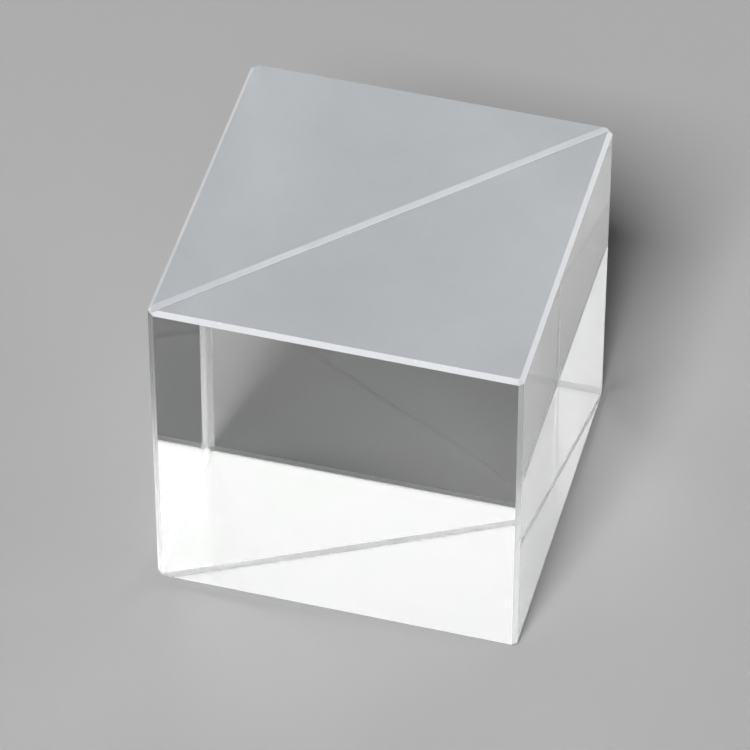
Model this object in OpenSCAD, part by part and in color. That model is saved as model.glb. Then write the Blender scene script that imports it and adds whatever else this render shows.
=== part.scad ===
// Beamsplitter cube: two right-angle glass prisms cemented hypotenuse to hypotenuse,
// with a half-reflecting coating on the hypotenuse of one of them. The four upright faces
// are polished, and the top and bottom faces are fine ground.
//
// Millimetres. The origin is at the centre of the bottom ground face, and +Z is up.
// The joint stands on the plan's diagonal, from the -X -Y corner to the +X +Y corner.
// The coated prism is on its +X -Y side and the plain prism on its -X +Y side.

/* [Cube] */
// Side of the square plan, over the polished faces
cube_side = 25.4; // [5:0.1:50.8]
// Height, from the bottom ground face to the top ground face
cube_height = 25.4; // [5:0.1:50.8]

/* [Bevels] */
// Leg of the 45 degree bevel on the top and bottom edges of the outer faces
edge_bevel = 0.3; // [0.05:0.05:0.6]
// Leg of the bevel on the top and bottom edges of each hypotenuse, half of the seam's groove
seam_bevel = 0.3; // [0.05:0.05:0.6]
// Leg of the bevel down the coated prism's right-angle edge
coated_corner_bevel = 0.3; // [0.05:0.05:0.8]
// Leg of the bevel down the plain prism's right-angle edge
plain_corner_bevel = 0.45; // [0.05:0.05:0.8]
// Width of the flat ground down each sharp 45 degree edge, square to the joint
acute_flat = 0.35; // [0.1:0.05:0.8]

/* [Joint] */
// Thickness of the half-reflecting coating
coating_thickness = 0.002; // [0.001:0.001:0.01]
// Thickness of the optical cement between the coating and the plain prism
cement_thickness = 0.015; // [0.005:0.005:0.05]

/* [Hidden] */

// Colours: clear crown glass, a greyish half mirror, and clear cement
glass_colour = [0.86, 0.92, 0.93, 0.35];
coating_colour = [0.62, 0.6, 0.64, 0.6];
cement_colour = [0.93, 0.92, 0.86, 0.5];

// Each prism is drawn in its own frame: the joint's middle plane is y = 0, the joint runs
// along X, the right-angle edge is at +Y, and z = 0 is half-way up.
coated_turn = -135;
plain_turn = 45;

half_side = cube_side / 2;
half_height = cube_height / 2;

// From the cube's axis to the line where two polished faces would meet without a bevel
half_diagonal = cube_side / sqrt(2);

// The hypotenuse of each prism stands this far from the joint's middle plane
hypotenuse_y = (coating_thickness + cement_thickness) / 2;

// The joint ends at the flats on the sharp edges and at the bottoms of the two grooves
joint_half_length = half_diagonal - hypotenuse_y - acute_flat;
joint_height = cube_height - 2 * seam_bevel;

// The bevel down a right-angle edge: half its width, which is also its depth
function corner_half_width(corner_bevel) = corner_bevel / sqrt(2);
function corner_y(corner_bevel) = half_diagonal - corner_half_width(corner_bevel);

// Section of one prism: the hypotenuse, a flat, a leg, the right-angle bevel, a leg, a flat
function prism_section(corner_bevel) = [
    [-joint_half_length, hypotenuse_y],
    [joint_half_length, hypotenuse_y],
    [joint_half_length, hypotenuse_y + acute_flat],
    [corner_half_width(corner_bevel), corner_y(corner_bevel)],
    [-corner_half_width(corner_bevel), corner_y(corner_bevel)],
    [-joint_half_length, hypotenuse_y + acute_flat]
];

// The same six upright faces: which way each looks, how far it is from the axis along that
// way, and the leg of the bevel on its top and bottom edges
function prism_faces(corner_bevel) = [
    [-90, -hypotenuse_y, seam_bevel],
    [0, joint_half_length, edge_bevel],
    [45, half_side, edge_bevel],
    [90, corner_y(corner_bevel), edge_bevel],
    [135, half_side, edge_bevel],
    [180, joint_half_length, edge_bevel]
];

// What the grinding wheel takes off the top edge of one upright face
module edge_cut(looks, distance, leg) {
    rotate([0, 0, looks])
        translate([distance - leg, 0, half_height])
            rotate([0, 45, 0])
                translate([-leg, -cube_side, 0])
                    cube([leg * sqrt(2) + 2 * leg, 2 * cube_side, leg]);
}

// One right-angle prism with every edge bevelled, in its own frame
module bevelled_prism(corner_bevel) {
    difference() {
        linear_extrude(height = cube_height, center = true)
            polygon(prism_section(corner_bevel));
        for (face = prism_faces(corner_bevel))
            for (end = [0, 1])
                mirror([0, 0, end])
                    edge_cut(face[0], face[1], face[2]);
    }
}

// A layer of the joint, in the coated prism's frame, from near_y for its thickness
module joint_layer(near_y, thickness) {
    translate([-joint_half_length, near_y, -joint_height / 2])
        cube([2 * joint_half_length, thickness, joint_height]);
}

// Stands a prism's frame in the cube
module in_cube(turn) {
    translate([0, 0, half_height])
        rotate([0, 0, turn])
            children();
}

// The prism that carries the coating
module coated_prism() {
    color(glass_colour)
        in_cube(coated_turn)
            bevelled_prism(coated_corner_bevel);
}

// The half-reflecting film, on the coated prism's hypotenuse
module beamsplitter_coating() {
    color(coating_colour)
        in_cube(coated_turn)
            joint_layer(hypotenuse_y - coating_thickness, coating_thickness);
}

// The cement, from the plain prism's hypotenuse to the film
module cement_layer() {
    color(cement_colour)
        in_cube(coated_turn)
            joint_layer(-hypotenuse_y, cement_thickness);
}

// The prism cemented on
module plain_prism() {
    color(glass_colour)
        in_cube(plain_turn)
            bevelled_prism(plain_corner_bevel);
}

coated_prism();
beamsplitter_coating();
cement_layer();
plain_prism();
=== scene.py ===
# %% [markdown]
# # A beamsplitter cube
#
# A beamsplitter cube is two right-angle glass prisms, cemented hypotenuse to hypotenuse. A film on
# one hypotenuse reflects part of the light and lets the rest through. The four upright faces are
# polished. The top, the base and every bevel are ground with loose grit, so they look frosted.
#
# The construction model gives the true size and place of each piece. This lesson dresses it. It
# works out the surfaces with numpy, gives each face the finish that it has on the real thing, and
# lights it so that the glass reads as glass.

# %% Load the construction model
import math
import bmesh
import bpy
import numpy as np
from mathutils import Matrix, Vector


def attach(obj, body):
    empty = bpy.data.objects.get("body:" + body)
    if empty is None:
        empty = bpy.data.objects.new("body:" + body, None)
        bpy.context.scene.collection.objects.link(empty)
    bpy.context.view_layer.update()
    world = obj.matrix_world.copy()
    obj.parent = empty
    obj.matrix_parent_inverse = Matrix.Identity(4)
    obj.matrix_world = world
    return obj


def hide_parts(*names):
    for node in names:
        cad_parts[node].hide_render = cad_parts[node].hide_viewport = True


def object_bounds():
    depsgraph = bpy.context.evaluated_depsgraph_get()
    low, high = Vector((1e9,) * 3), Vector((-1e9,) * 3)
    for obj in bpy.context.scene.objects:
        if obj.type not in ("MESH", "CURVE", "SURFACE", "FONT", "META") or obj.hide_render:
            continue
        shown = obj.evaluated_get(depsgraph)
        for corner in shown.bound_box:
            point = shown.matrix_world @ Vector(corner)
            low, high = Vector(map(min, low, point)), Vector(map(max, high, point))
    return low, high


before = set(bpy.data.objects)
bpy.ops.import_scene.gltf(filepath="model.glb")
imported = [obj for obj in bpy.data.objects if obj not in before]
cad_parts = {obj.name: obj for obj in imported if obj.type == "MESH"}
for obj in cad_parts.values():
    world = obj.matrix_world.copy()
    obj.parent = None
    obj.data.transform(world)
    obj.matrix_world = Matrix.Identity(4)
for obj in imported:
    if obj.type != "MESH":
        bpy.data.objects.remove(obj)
cad_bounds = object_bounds()
MM = 0.001
print("pieces in the construction model:", sorted(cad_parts))

# %% [markdown]
# ## Sizes
#
# The frame says how wide and how tall the cube is. The smaller sizes are named here in the words of
# a workshop drawing. Every edge of the glass has a bevel, because a sharp glass edge chips. The two
# bevels along the seam make a shallow groove. Down each sharp 45 degree edge there is a flat, square
# to the joint.

# %% Read the cube's size, and name the small sizes
cube_low, cube_high = (np.array(corner) for corner in cad_bounds)
cube_side = float(cube_high[0] - cube_low[0])
cube_height = float(cube_high[2] - cube_low[2])
EDGE_LEG = 0.3 * MM
COATED_CORNER_LEG = 0.3 * MM
PLAIN_CORNER_LEG = 0.45 * MM
ACUTE_FLAT = 0.35 * MM
COATING = 0.002 * MM
CEMENT = 0.015 * MM
print(f"cube {cube_side / MM:.2f} mm wide, {cube_height / MM:.2f} mm tall, bevels {EDGE_LEG / MM:.2f} mm")

# %% [markdown]
# ## Where the joint lies
#
# Each prism is drawn in its own row frame: the joint runs along x, and the glass lies on the +y
# side. Half of the joint's thickness belongs to each prism's side. A turn about the upright axis
# puts the coated prism at the front right and the plain one at the back left.

# %% Work out the joint
hypotenuse_y = (COATING + CEMENT) / 2
half_diagonal = cube_side / math.sqrt(2)
joint_half_length = half_diagonal - hypotenuse_y - ACUTE_FLAT
COATED_TURN = -135.0
PLAIN_TURN = 45.0
print(f"joint {2 * joint_half_length / MM:.2f} mm long, {2 * hypotenuse_y / MM:.3f} mm thick")

# %% [markdown]
# ## The outline of a prism
#
# Seen from above, a ground prism has six sides: the hypotenuse, a narrow flat, a leg, the bevel of
# the right-angle edge, the other leg and the other flat. Each side is a line, and the corners are
# where neighbouring lines meet. Working with lines instead of corners pays off at the bevels: where
# one starts, every line moves inwards by the same amount, and the corners follow by themselves.

# %% Find where lines meet
def meet(normals_a, distances_a, normals_b, distances_b):
    """Points where line a meets line b: the p with a . p = da and b . p = db, for whole arrays."""
    lines = np.stack([normals_a, normals_b], axis=-2)
    places = np.stack([distances_a, distances_b], axis=-1)
    return np.linalg.solve(lines, places[..., None])[..., 0]


def side_lines(corner_leg):
    """Directions and distances of the outline's six sides. Side k has the normal (cos a, sin a).
    The legs lie half a side from the axis, and a corner bevel cuts its leg over root two."""
    angles = np.radians([-90.0, 0.0, 45.0, 90.0, 135.0, 180.0])
    corner_y = half_diagonal - corner_leg / math.sqrt(2)
    distances = np.array([-hypotenuse_y, joint_half_length, cube_side / 2,
                          corner_y, cube_side / 2, joint_half_length])
    return np.stack([np.cos(angles), np.sin(angles)], axis=1), distances


_, sharp_distances = side_lines(0.0)
print("the sides lie at (mm):", np.round(sharp_distances / MM, 3))

# %% [markdown]
# ## The outline at any inset
#
# A narrow flat gets narrower as the outline moves inwards, and runs out before the bevel does. From
# there on its two neighbours meet each other. The function below does this for many insets at once,
# as one array of levels by corners.

# %% Corners of the outline
def outline(insets, corner_leg):
    """Corners of the outline for each inset: rows are insets, columns are the six corners.

    Corner k is where side k meets side k + 1, after each distance has lost the inset. A side whose
    width has gone below nothing gives both its corners to the point where its neighbours meet."""
    normals, distances = side_lines(corner_leg)
    tangents = np.stack([-normals[:, 1], normals[:, 0]], axis=1)
    moved = distances[None, :] - np.asarray(insets)[:, None]
    sides = np.broadcast_to(normals, moved.shape + (2,))
    corners = meet(sides, moved, np.roll(sides, -1, 1), np.roll(moved, -1, 1))
    widths = ((corners - np.roll(corners, 1, 1)) * tangents).sum(-1)
    bridges = meet(np.roll(sides, 1, 1), np.roll(moved, 1, 1),
                   np.roll(sides, -1, 1), np.roll(moved, -1, 1))
    gone = (widths < 0)[..., None]
    corners = np.where(gone, bridges, corners)
    corners = np.where(np.roll(gone, -1, 1), np.roll(bridges, -1, 1), corners)
    return corners, widths


_, full_widths = outline([0.0], PLAIN_CORNER_LEG)
print("side widths (mm):", np.round(full_widths[0] / MM, 3))

# %% [markdown]
# ## Levels up the prism
#
# The whole prism is this outline, carried up its height. It is inset by the bevel's leg at the very
# bottom and top, and by nothing in between. One more level lies inside each bevel, where the flats
# run out.

# %% Heights and insets of the levels
def rise_levels(corner_leg):
    """Heights at which the outline changes, and its inset at each. A width shrinks evenly with the
    inset, so it is nothing at leg * w0 / (w0 - w1)."""
    _, widths = outline([0.0, EDGE_LEG], corner_leg)
    flat_gone = EDGE_LEG * widths[0, 1] / (widths[0, 1] - widths[1, 1])
    insets = np.array([EDGE_LEG, flat_gone, 0.0, 0.0, flat_gone, EDGE_LEG])
    rise = EDGE_LEG - insets
    heights = np.where(np.arange(6) < 3, rise, cube_height - rise)
    return heights, insets


levels, level_insets = rise_levels(COATED_CORNER_LEG)
print("the outline changes at (mm):", np.round(levels / MM, 3))

# %% [markdown]
# ## From outlines to a mesh
#
# The outline at every level makes a grid of points, level by corner. The quads of the grid are the
# sides, and one polygon closes each end. Each face keeps the number of its finish. Where a flat has
# run out two points are one, so doubles are merged, and the empty faces go with them. That keeps
# the mesh closed, which glass needs: a ray that goes in has to find a way out.

# %% Carry outlines up into a closed mesh
SAME_POINT = 1e-8


def turned(points, degrees):
    """Points turned about the upright axis: x' = x cos - y sin, y' = x sin + y cos."""
    c, s = math.cos(math.radians(degrees)), math.sin(math.radians(degrees))
    return points @ np.array([[c, s, 0.0], [-s, c, 0.0], [0.0, 0.0, 1.0]])


def lofted(name, rings, side_finish, end_finish, materials):
    """A closed mesh through rings of points, an array (level, corner, xyz). side_finish holds a
    material number for each (gap between levels, side), and end_finish one for base and top."""
    n_levels, n_corners, _ = rings.shape
    index = np.arange(n_levels * n_corners).reshape(n_levels, n_corners)
    before = np.roll(index, 1, axis=1)
    quads = np.stack([before[:-1], index[:-1], index[1:], before[1:]], axis=-1).reshape(-1, 4)
    faces = quads.tolist() + [index[0, ::-1].tolist(), index[-1].tolist()]
    finish = np.concatenate([np.asarray(side_finish).ravel(), end_finish])
    mesh = bpy.data.meshes.new(name)
    mesh.from_pydata(rings.reshape(-1, 3).tolist(), [], faces)
    mesh.polygons.foreach_set("material_index", finish.astype(np.int32))
    for material in materials:
        mesh.materials.append(material)
    work = bmesh.new()
    work.from_mesh(mesh)
    bmesh.ops.remove_doubles(work, verts=work.verts, dist=SAME_POINT)
    bmesh.ops.recalc_face_normals(work, faces=work.faces)
    open_edges = sum(not edge.is_manifold for edge in work.edges)
    work.to_mesh(mesh)
    work.free()
    piece = bpy.data.objects.new(name, mesh)
    bpy.context.scene.collection.objects.link(piece)
    print(f"{name}: {len(mesh.vertices)} points, {len(mesh.polygons)} faces, {open_edges} open edges")
    return piece


# %% [markdown]
# ## Helpers for node trees
#
# A material is a small graph. These helpers keep the graph short to write: one makes an empty node
# group with named sockets, one adds a step of arithmetic, one stretches a tone about its middle, one
# mixes two colours by a mask, and one makes a noise.

# %% Node group, arithmetic, colour and noise helpers
FLOAT, VECTOR = "NodeSocketFloat", "NodeSocketVector"


def node_group(name, inputs, outputs):
    """An empty node group. inputs maps a socket's name to its type and value, outputs to a type."""
    group = bpy.data.node_groups.new(name, "ShaderNodeTree")
    for socket, (kind, value) in inputs.items():
        made = group.interface.new_socket(socket, in_out="INPUT", socket_type=kind)
        if value is not None:
            made.default_value = value
    for socket, kind in outputs.items():
        group.interface.new_socket(socket, in_out="OUTPUT", socket_type=kind)
    return group, group.nodes.new("NodeGroupInput").outputs, group.nodes.new("NodeGroupOutput").inputs


def arithmetic(tree, operation, a, b=None):
    """One Math node, a (operation) b, where a and b are sockets or numbers."""
    node = tree.nodes.new("ShaderNodeMath")
    node.operation = operation
    for slot, value in enumerate((a, b)):
        if hasattr(value, "links"):
            tree.links.new(value, node.inputs[slot])
        elif value is not None:
            node.inputs[slot].default_value = value
    return node.outputs["Value"]


def stretched(tree, tone, contrast):
    """0.5 + contrast (tone - 0.5), held within 0 and 1."""
    wide = arithmetic(tree, "ADD", arithmetic(tree, "MULTIPLY", tone, contrast), 0.5 - contrast / 2)
    return arithmetic(tree, "MINIMUM", arithmetic(tree, "MAXIMUM", wide, 0.0), 1.0)


def blend_colour(tree, mask, low, high):
    """The colour low * (1 - mask) + high * mask."""
    node = tree.nodes.new("ShaderNodeMix")
    node.data_type = "RGBA"
    tree.links.new(mask, node.inputs["Factor"])
    node.inputs["A"].default_value = (*low, 1.0)
    node.inputs["B"].default_value = (*high, 1.0)
    return node.outputs["Result"]


def noise(tree, vector, scale, detail, roughness=0.5):
    """The Fac output of a Noise node. Scale is a socket or a number of features per metre."""
    node = tree.nodes.new("ShaderNodeTexNoise")
    tree.links.new(vector, node.inputs["Vector"])
    if hasattr(scale, "links"):
        tree.links.new(scale, node.inputs["Scale"])
    else:
        node.inputs["Scale"].default_value = scale
    node.inputs["Detail"].default_value = detail
    node.inputs["Roughness"].default_value = roughness
    return node.outputs["Fac"]


print("helpers ready")

# %% [markdown]
# ## Effect: ground grain
#
# Loose grit leaves a dense field of tiny pits, about a tenth of a millimetre from crest to crest
# once the eye has blurred them, and a slow mottle where the lap wore unevenly. Along a bevel the
# grit also breaks out small chips. One group makes all three. Height goes to a bump, Tone to the
# colour and the roughness, and Chips is a mask of round spots.

# %% Make the ground grain group
MOTTLE_PART = 0.65
CHIP_CELLS_PER_METRE = 2200.0
CHIP_RADIUS = 0.28


def make_ground_grain():
    """Height = fine noise. Tone = 0.5 + 2 (0.65 mottle + 0.35 grain - 0.5), held within 0 and 1.
    Chips = 1 where a point lies near its cell's seed and the cell's random number is small."""
    group, given, made = node_group(
        "ground_grain",
        {"Vector": (VECTOR, None), "Grain": (FLOAT, 9000.0), "Mottle": (FLOAT, 260.0),
         "Chip Share": (FLOAT, 0.0)},
        {"Height": FLOAT, "Tone": FLOAT, "Chips": FLOAT})
    grain = noise(group, given["Vector"], given["Grain"], 3.0)
    mottle = noise(group, given["Vector"], given["Mottle"], 4.0, 0.6)
    mixed = arithmetic(group, "ADD", arithmetic(group, "MULTIPLY", mottle, MOTTLE_PART),
                       arithmetic(group, "MULTIPLY", grain, 1.0 - MOTTLE_PART))
    tone = stretched(group, mixed, 2.0)
    cells = group.nodes.new("ShaderNodeTexVoronoi")
    cells.inputs["Scale"].default_value = CHIP_CELLS_PER_METRE
    group.links.new(given["Vector"], cells.inputs["Vector"])
    draw = group.nodes.new("ShaderNodeSeparateColor")
    group.links.new(cells.outputs["Color"], draw.inputs["Color"])
    near = arithmetic(group, "LESS_THAN", cells.outputs["Distance"], CHIP_RADIUS)
    picked = arithmetic(group, "LESS_THAN", draw.outputs["Red"], given["Chip Share"])
    group.links.new(grain, made["Height"])
    group.links.new(tone, made["Tone"])
    group.links.new(arithmetic(group, "MULTIPLY", near, picked), made["Chips"])
    return group


ground_grain = make_ground_grain()
print("ground_grain gives", [item.name for item in ground_grain.interface.items_tree
                             if item.in_out == "OUTPUT"])

# %% [markdown]
# ## Effect: slow drift
#
# Glass, film, cement and the studio floor are all nearly even, but not quite. A coating is a little
# thicker at one side of its batch, and cement is a little thicker in the middle. One group gives a
# slow change from 0 to 1 over a chosen distance, and each material mixes two near colours with it.

# %% Make the slow drift group
def make_slow_drift():
    """Tone = 0.5 + 1.8 (noise - 0.5), held within 0 and 1."""
    group, given, made = node_group(
        "slow_drift", {"Vector": (VECTOR, None), "Scale": (FLOAT, 80.0)}, {"Tone": FLOAT})
    drift = noise(group, given["Vector"], given["Scale"], 2.0)
    group.links.new(stretched(group, drift, 1.8), made["Tone"])
    return group


slow_drift = make_slow_drift()
print("slow_drift takes", [item.name for item in slow_drift.interface.items_tree
                           if item.in_out == "INPUT"])

# %% [markdown]
# ## Starting a material
#
# Every material starts the same way: one Principled shader, and the Object coordinates, which stay
# fixed to the glass. A group node is placed with its own values.

# %% Start a material and place a group in it
def start_material(name):
    """A new material's node tree, its Principled shader and its Object coordinates."""
    material = bpy.data.materials.new(name)
    material.use_nodes = True
    tree = material.node_tree
    place = tree.nodes.new("ShaderNodeTexCoord").outputs["Object"]
    return material, tree, tree.nodes["Principled BSDF"], place


def place_group(tree, group, place, **values):
    """A group node that reads the place, with its other inputs set by name. Gives its outputs."""
    node = tree.nodes.new("ShaderNodeGroup")
    node.node_tree = group
    tree.links.new(place, node.inputs["Vector"])
    for socket, value in values.items():
        node.inputs[socket.replace("_", " ")].default_value = value
    return node.outputs


GLASS_IOR = 1.517
print("refractive index of the crown glass:", GLASS_IOR)

# %% [markdown]
# ## Finish: ground glass
#
# Ground glass does two things at once. Its pits scatter light like chalk, which is what makes it
# white, and they still let blurred light through. Principled does both: Transmission Weight shares
# the light between the chalky part and the rough glass part. The base is ground finer than the top,
# so from inside it acts as a soft mirror, and through the polished sides it looks bright.
#
# The bevels round the top are struck by hand with a coarse stone, and are the whitest lines on the
# cube. The upright bevels and those round the base are finer, and pass more light. Deep pits also
# throw some light back the way it came, however it meets them. Metallic stands for that share.

# %% Make the five ground finishes
ROUGHNESS_SWING = 0.04
PIT_DEPTH = 0.02 * MM


def ground_material(name, white, shade, roughness, transmission, bump, chip_share=0.0, sent_back=0.0):
    """Colour runs from shade to white with the grain's tone, and is white on a chip. Roughness is
    the given one, plus or minus the swing with the tone. sent_back is the share that pits return."""
    material, tree, shader, place = start_material(name)
    grain = place_group(tree, ground_grain, place, Chip_Share=chip_share)
    lit = arithmetic(tree, "MAXIMUM", grain["Tone"], grain["Chips"])
    tree.links.new(blend_colour(tree, lit, shade, white), shader.inputs["Base Color"])
    swing = arithmetic(tree, "MULTIPLY", grain["Tone"], 2 * ROUGHNESS_SWING)
    rough = arithmetic(tree, "ADD", swing, roughness - ROUGHNESS_SWING)
    tree.links.new(rough, shader.inputs["Roughness"])
    relief = tree.nodes.new("ShaderNodeBump")
    relief.inputs["Strength"].default_value = bump
    relief.inputs["Distance"].default_value = PIT_DEPTH
    pitted = arithmetic(tree, "SUBTRACT", grain["Height"], grain["Chips"])
    tree.links.new(pitted, relief.inputs["Height"])
    tree.links.new(relief.outputs["Normal"], shader.inputs["Normal"])
    shader.inputs["Transmission Weight"].default_value = transmission
    shader.inputs["Metallic"].default_value = sent_back
    shader.inputs["IOR"].default_value = GLASS_IOR
    print(f"{name}: roughness {roughness}, lets through {transmission:.0%}")
    return material


ground_top = ground_material("ground_top", (0.8, 0.83, 0.87), (0.72, 0.75, 0.79),
                             roughness=0.5, transmission=0.5, bump=0.12)
ground_base = ground_material("ground_base", (1.0, 0.985, 0.97), (0.97, 0.955, 0.94),
                              roughness=0.24, transmission=1.0, bump=0.005)
stoned_bevel = ground_material("stoned_bevel", (0.77, 0.78, 0.8), (0.67, 0.68, 0.7),
                               roughness=0.7, transmission=0.15, bump=0.25, chip_share=0.25, sent_back=0.4)
fine_bevel = ground_material("fine_bevel", (1.0, 1.0, 1.0), (0.95, 0.96, 0.97),
                             roughness=0.55, transmission=1.0, bump=0.1, chip_share=0.15)
seam_bevel = ground_material("seam_bevel", (1.0, 1.0, 1.0), (0.96, 0.96, 0.97),
                             roughness=0.8, transmission=1.0, bump=0.01, sent_back=0.6)

# %% [markdown]
# ## Finish: polished and cemented glass
#
# A polished face bends light by the step in index from air to glass, 1.517. At the joint there is
# no such step: cement is chosen to match the glass, so light goes straight on. The renderer doesn't
# know what lies on the far side of a face, so each cemented face is given the step that it really
# has, which is 1.0. Wiping leaves a very faint haze on the polished faces.

# %% Make the clear finishes
WIPE_MARKS_PER_METRE = 900.0


def clear_material(name, near, far, ior, haze=0.0, metallic=0.0, scale=80.0, gloss=0.5):
    """Colour drifts slowly from near to far. Roughness is haze times a streaky noise, or none."""
    material, tree, shader, place = start_material(name)
    drift = place_group(tree, slow_drift, place, Scale=scale)
    tree.links.new(blend_colour(tree, drift["Tone"], near, far), shader.inputs["Base Color"])
    shader.inputs["Roughness"].default_value = 0.0
    if haze > 0:
        wiped = arithmetic(tree, "POWER", noise(tree, place, WIPE_MARKS_PER_METRE, 3.0), 2.0)
        tree.links.new(arithmetic(tree, "MULTIPLY", wiped, haze), shader.inputs["Roughness"])
    shader.inputs["Transmission Weight"].default_value = 1.0
    shader.inputs["Metallic"].default_value = metallic
    shader.inputs["IOR"].default_value = ior
    shader.inputs["Specular IOR Level"].default_value = gloss
    print(f"{name}: index step {ior}, metal share {metallic}")
    return material


ANTI_REFLECTION = 0.1
polished_face = clear_material("polished_glass", (0.985, 0.995, 0.99), (0.99, 0.99, 0.995), GLASS_IOR,
                               haze=0.02, gloss=ANTI_REFLECTION)
matched_face = clear_material("cemented_glass", (1.0, 1.0, 1.0), (0.997, 0.998, 0.997), 1.0)
cement_body = clear_material("clear_cement", (0.995, 0.99, 0.975), (0.99, 0.985, 0.965), 1.0, scale=150.0)

# %% [markdown]
# ## Finish: the half mirror
#
# The splitting film is a stack of layers thinner than a wavelength. What counts is its effect: part
# of the light is reflected and the rest passes. Metallic is the part that acts as a mirror, and it
# is one plain number. A quarter keeps the joint as faint as it looks on such a cube. The film's tint
# drifts from faintly green to faintly lilac, as its thickness does.

# %% Make the half mirror
MIRROR_SHARE = 0.25
half_mirror = clear_material("half_mirror", (0.9, 0.945, 0.92), (0.945, 0.91, 0.955), 1.0,
                             metallic=MIRROR_SHARE, scale=110.0)

# %% [markdown]
# ## The two prisms
#
# Both prisms come from the same outline, and differ in the width of the right-angle bevel and in
# the turn. The table of finishes has a row for each gap between levels, bottom to top, and a column
# for each side. Column 0 is the hypotenuse, and its bevels are halves of the seam's two grooves. The
# top groove has the finish of the top face, and the bottom one has its own, paler than the rest.

# %% Build the prisms
FINISHES = [polished_face, ground_top, ground_base, stoned_bevel, fine_bevel, seam_bevel, matched_face]
POLISHED, TOP, BASE, STONED, FINE, SEAM, MATCHED = range(len(FINISHES))
upright_finish = [MATCHED, FINE, POLISHED, FINE, POLISHED, FINE]
top_bevel_finish = [TOP, STONED, STONED, STONED, STONED, STONED]
base_bevel_finish = [SEAM, FINE, FINE, FINE, FINE, FINE]
side_finish = [base_bevel_finish, base_bevel_finish, upright_finish, top_bevel_finish, top_bevel_finish]


def prism(name, node, turn, corner_leg):
    """A prism: the outline at each level's inset, set at that level's height, then turned."""
    heights, insets = rise_levels(corner_leg)
    corners, _ = outline(insets, corner_leg)
    upright = np.broadcast_to(heights[:, None, None], corners.shape[:2] + (1,))
    rings = np.concatenate([corners, upright], axis=2)
    piece = lofted(name, turned(rings, turn), side_finish, [BASE, TOP], FINISHES)
    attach(piece, "root")
    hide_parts(node)
    return piece


coated_glass = prism("coated_prism_glass", "coated_prism", COATED_TURN, COATED_CORNER_LEG)
plain_glass = prism("plain_prism_glass", "plain_prism", PLAIN_TURN, PLAIN_CORNER_LEG)

# %% [markdown]
# ## The joint
#
# The film and the cement are thin plates that fill the gap between the prisms, up to the bevels. A
# hair of space, less than a thousandth of a millimetre, keeps two faces from lying in one plane,
# where the renderer couldn't tell which comes first. Only the film's near face is the mirror: its
# other faces lie in cement, so nothing happens there.

# %% Build the film and the cement
HAIR = 0.0004 * MM


def joint_sheet(name, node, near_y, far_y, materials, faces):
    """A thin plate between near_y and far_y in the coated prism's row frame. It reaches to the
    flats at its ends and to the bevels at its top and bottom."""
    x = joint_half_length - HAIR
    ring = np.array([[-x, far_y], [x, far_y], [x, near_y], [-x, near_y]])
    rings = np.stack([np.column_stack([ring, np.full(4, z)]) for z in (EDGE_LEG, cube_height - EDGE_LEG)])
    piece = lofted(name, turned(rings, COATED_TURN), [faces], [faces[0]] * 2, materials)
    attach(piece, "root")
    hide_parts(node)
    return piece


coating_y = hypotenuse_y - COATING
film = joint_sheet("half_mirror_film", "beamsplitter_coating", hypotenuse_y - HAIR, coating_y + HAIR,
                   [half_mirror, matched_face], [1, 1, 1, 0])
cement = joint_sheet("cement_film", "cement_layer", coating_y - HAIR, -hypotenuse_y + HAIR,
                     [cement_body], [0, 0, 0, 0])

# %% [markdown]
# ## The floor
#
# Glass shows what stands around it, so the floor matters as much as the lamps. It is a plain pale
# board. It lies a little below the base, so that the two never share a plane.

# %% Lay the floor
FLOOR_SIZE = 8.0
FLOOR_GAP = 0.04 * MM


def floor_material():
    """A pale board: two near greys mixed by a slow drift, and a matt surface."""
    material, tree, shader, place = start_material("pale_board")
    drift = place_group(tree, slow_drift, place, Scale=14.0)
    tree.links.new(blend_colour(tree, drift["Tone"], (0.47, 0.47, 0.475), (0.49, 0.49, 0.495)),
                   shader.inputs["Base Color"])
    shader.inputs["Roughness"].default_value = 0.9
    shader.inputs["Specular IOR Level"].default_value = 0.1
    return material


reach = FLOOR_SIZE / 2
floor_mesh = bpy.data.meshes.new("floor")
floor_mesh.from_pydata([(-reach, -reach, -FLOOR_GAP), (reach, -reach, -FLOOR_GAP),
                        (reach, reach, -FLOOR_GAP), (-reach, reach, -FLOOR_GAP)], [], [(0, 1, 2, 3)])
floor_mesh.materials.append(floor_material())
floor = bpy.data.objects.new("floor", floor_mesh)
scene = bpy.context.scene
scene.collection.objects.link(floor)
print(f"floor {FLOOR_SIZE:.0f} m wide")

# %% [markdown]
# ## The room
#
# The room round the table is white. The camera sees it so, and so do reflections and rays that come
# out of the glass. That white is what the base mirrors towards the eye. For the light that falls on
# the board it is dim, so that the shadow keeps its depth: Light Path tells the two kinds of ray
# apart. A ray that has already left the board counts as falling light, even if it then goes through
# the glass.

# %% Make the room
ROOM_WHITE = 1.1
ROOM_DIM = 0.04


def make_room():
    """Strength = dim + (white - dim) * seen, where seen is 1 for a camera, glossy or transmission
    ray that hasn't met a matt surface."""
    world = bpy.data.worlds.new("studio")
    world.use_nodes = True
    tree = world.node_tree
    path = tree.nodes.new("ShaderNodeLightPath").outputs
    seen = arithmetic(tree, "MAXIMUM", path["Is Camera Ray"], path["Is Glossy Ray"])
    seen = arithmetic(tree, "MAXIMUM", seen, path["Is Transmission Ray"])
    seen = arithmetic(tree, "MULTIPLY", seen, arithmetic(tree, "LESS_THAN", path["Diffuse Depth"], 0.5))
    strength = arithmetic(tree, "ADD", arithmetic(tree, "MULTIPLY", seen, ROOM_WHITE - ROOM_DIM), ROOM_DIM)
    background = tree.nodes["Background"].inputs
    background["Color"].default_value = (1.0, 1.0, 1.0, 1.0)
    tree.links.new(strength, background["Strength"])
    return world


scene.world = make_room()
print(f"room: {ROOM_WHITE} seen, {ROOM_DIM} as light on the board")

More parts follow.
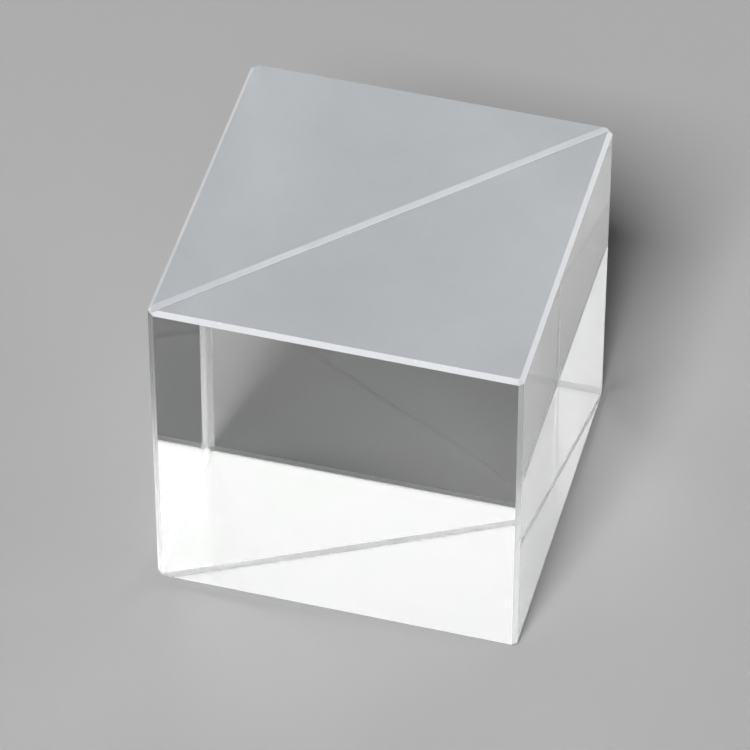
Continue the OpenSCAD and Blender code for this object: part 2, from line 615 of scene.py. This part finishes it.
# %% [markdown]
# ## The key lamp
#
# One large softbox lights the table from the front. Its shadow falls behind the cube, where the
# polished front face looks through to the board, so the glass gets its dark upper band. The
# lamp itself isn't shown to rays inside the glass, which keeps that shadow clean, nor to
# reflections, which would burn a white spot into the bevels.

# %% Hang the key softbox
def softbox(name, azimuth, elevation, distance, width, radiance):
    """A square lamp that looks at the cube. Azimuth 0 is in front of it, and 90 is on its right. A
    lamp of radiance L and area A has the power pi A L."""
    a, e = math.radians(azimuth), math.radians(elevation)
    way = Vector((math.sin(a) * math.cos(e), -math.cos(a) * math.cos(e), math.sin(e)))
    lamp = bpy.data.lights.new(name, "AREA")
    lamp.size = width
    lamp.energy = math.pi * width ** 2 * radiance
    holder = bpy.data.objects.new(name, lamp)
    scene.collection.objects.link(holder)
    holder.location = Vector((0, 0, cube_height / 2)) + way * distance
    holder.rotation_euler = way.to_track_quat("Z", "Y").to_euler()
    print(f"{name}: {lamp.energy:.1f} W")
    return holder


key = softbox("key_softbox", azimuth=-2, elevation=48, distance=6.0, width=2.0, radiance=32.0)
key.visible_transmission = False
key.visible_glossy = False

# %% [markdown]
# ## Reflection cards
#
# A glass cube needs bright cards round it, out of view. They add nothing to the light on the board.
# They are there to be mirrored: two of them show in the ground base when it is seen through the
# right-hand face, and the third lights the bevel along the right of the top.

# %% Set the cards round the cube
CARD_DISTANCE = 3.0
CARD_WIDTH = 1.6


def reflection_card(name, azimuth, elevation, radiance):
    """A softbox that only reflections and glass show. No matt surface sees it, nor the camera."""
    card = softbox(name, azimuth, elevation, CARD_DISTANCE, CARD_WIDTH, radiance)
    card.visible_diffuse = False
    card.visible_camera = False


reflection_card("left_card", azimuth=-45, elevation=33, radiance=2.8)
reflection_card("rear_card", azimuth=225, elevation=33, radiance=1.5)
reflection_card("right_card", azimuth=150, elevation=12, radiance=6.5)

# %% [markdown]
# ## The camera
#
# The camera looks down at the cube from the front, a little from the right, through a long lens
# that keeps the upright edges nearly parallel. Its aim is a named step beside the cube's middle.

# %% Set up the camera
CAMERA_AZIMUTH = 14.97
CAMERA_ELEVATION = 44.78
CAMERA_DISTANCE = 374.5 * MM
CAMERA_LENS = 264.5
AIM_RIGHT = -0.58 * MM
AIM_UP = -1.49 * MM


def make_camera():
    """A camera at the distance along the viewing direction, turned towards the aim. The step to the
    aim is measured along the picture's own right and up directions."""
    a, e = math.radians(CAMERA_AZIMUTH), math.radians(CAMERA_ELEVATION)
    way = Vector((math.sin(a) * math.cos(e), -math.cos(a) * math.cos(e), math.sin(e)))
    right = Vector((math.cos(a), math.sin(a), 0))
    up = way.cross(right)
    centre = Vector((0, 0, cube_height / 2))
    lens = bpy.data.cameras.new("camera")
    lens.lens = CAMERA_LENS
    lens.clip_start = 10 * MM
    camera = bpy.data.objects.new("camera", lens)
    scene.collection.objects.link(camera)
    camera.location = centre + way * CAMERA_DISTANCE
    aim = centre + right * AIM_RIGHT + up * AIM_UP
    camera.rotation_euler = (camera.location - aim).to_track_quat("Z", "Y").to_euler()
    return camera


scene.camera = make_camera()
print("camera at (mm):", [round(c / MM, 1) for c in scene.camera.location])

# %% [markdown]
# ## Render settings
#
# Light bounces many times inside the cube, from face to face and through the joint. With too few
# bounces those paths go black, so the limits are raised.

# %% Allow long light paths
scene.view_settings.view_transform = "Standard"
scene.cycles.max_bounces = 40
scene.cycles.transmission_bounces = 40
scene.cycles.glossy_bounces = 24
scene.cycles.diffuse_bounces = 6
scene.cycles.blur_glossy = 0.0
scene.cycles.sample_clamp_indirect = 10.0
scene.cycles.use_denoising = True
print("bounces:", scene.cycles.max_bounces)
